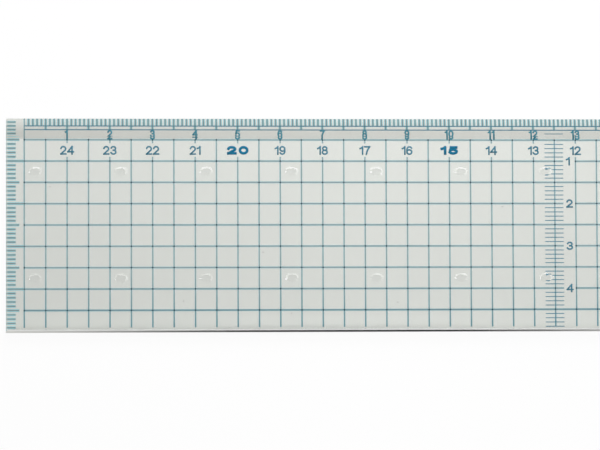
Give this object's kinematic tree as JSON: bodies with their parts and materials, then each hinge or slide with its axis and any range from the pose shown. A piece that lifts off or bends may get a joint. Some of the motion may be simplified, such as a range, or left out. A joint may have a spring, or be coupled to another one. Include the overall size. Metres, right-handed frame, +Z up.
{
  "type": "acrylic cutting ruler",
  "caption": "Flat clear ruler with a bevelled drawing edge, a steel strip along its straight cutting edge and rows of clear raised grip dots on its top face.",
  "frame": {"origin": "middle of the footprint, on the surface that the ruler lies on", "axes": "+X along the ruler in the reading direction of its numerals, +Y towards the bevelled drawing edge, +Z up out of the face with the grip dots"},
  "size_m": [0.2586, 0.0502, 0.0033],
  "materials": {
    "acrylic_plate": "clear cast acrylic, polished faces",
    "steel_cutting_strip": "stainless strip, fine lengthwise grind",
    "grip_dot": "clear domed resin, glossy",
    "printed_scale": "teal blue screen ink on the underside of the plate"
  },
  "bodies": {
    "root": {"acrylic_plate": "acrylic_plate", "steel_cutting_strip": "steel_cutting_strip", "grip_dot_drawing_side_01": "grip_dot", "grip_dot_drawing_side_02": "grip_dot", "grip_dot_drawing_side_03": "grip_dot", "grip_dot_drawing_side_04": "grip_dot", "grip_dot_drawing_side_05": "grip_dot", "grip_dot_drawing_side_06": "grip_dot", "grip_dot_drawing_side_07": "grip_dot", "grip_dot_drawing_side_08": "grip_dot", "grip_dot_drawing_side_09": "grip_dot", "grip_dot_drawing_side_10": "grip_dot", "grip_dot_drawing_side_11": "grip_dot", "grip_dot_drawing_side_12": "grip_dot", "grip_dot_drawing_side_13": "grip_dot", "grip_dot_cutting_side_01": "grip_dot", "grip_dot_cutting_side_02": "grip_dot", "grip_dot_cutting_side_03": "grip_dot", "grip_dot_cutting_side_04": "grip_dot", "grip_dot_cutting_side_05": "grip_dot", "grip_dot_cutting_side_06": "grip_dot", "grip_dot_cutting_side_07": "grip_dot", "grip_dot_cutting_side_08": "grip_dot", "grip_dot_cutting_side_09": "grip_dot", "grip_dot_cutting_side_10": "grip_dot", "grip_dot_cutting_side_11": "grip_dot", "grip_dot_cutting_side_12": "grip_dot", "grip_dot_cutting_side_13": "grip_dot"}
  },
  "joints": []
}
